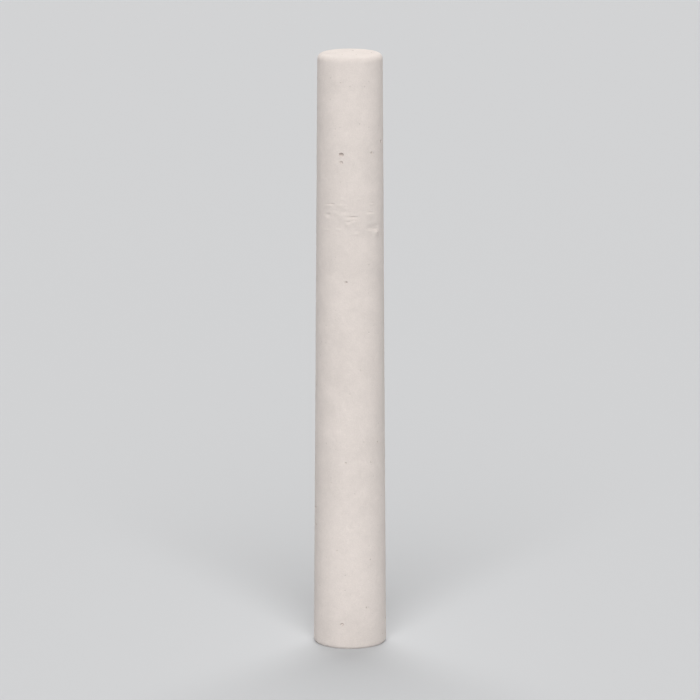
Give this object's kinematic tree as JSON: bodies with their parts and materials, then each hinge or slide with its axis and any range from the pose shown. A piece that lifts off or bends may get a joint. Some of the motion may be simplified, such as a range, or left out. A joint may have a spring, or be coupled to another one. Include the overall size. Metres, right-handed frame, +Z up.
{
  "type": "chalk piece",
  "caption": "Moulded stick of white board chalk: a plain round bar with a slight taper, a flat wide end to stand on and a softer rim at the narrow end.",
  "frame": {"origin": "centre of the wide end's flat face, on which the stick stands", "axes": "+Z up along the stick's own axis, from the wide end to the narrow end; -Y is the front, the side that the picture shows; +X is to the viewer's right"},
  "size_m": [0.0096, 0.0096, 0.08],
  "materials": {
    "chalk": "matte"
  },
  "bodies": {
    "root": {"chalk_stick": "chalk"}
  },
  "joints": []
}
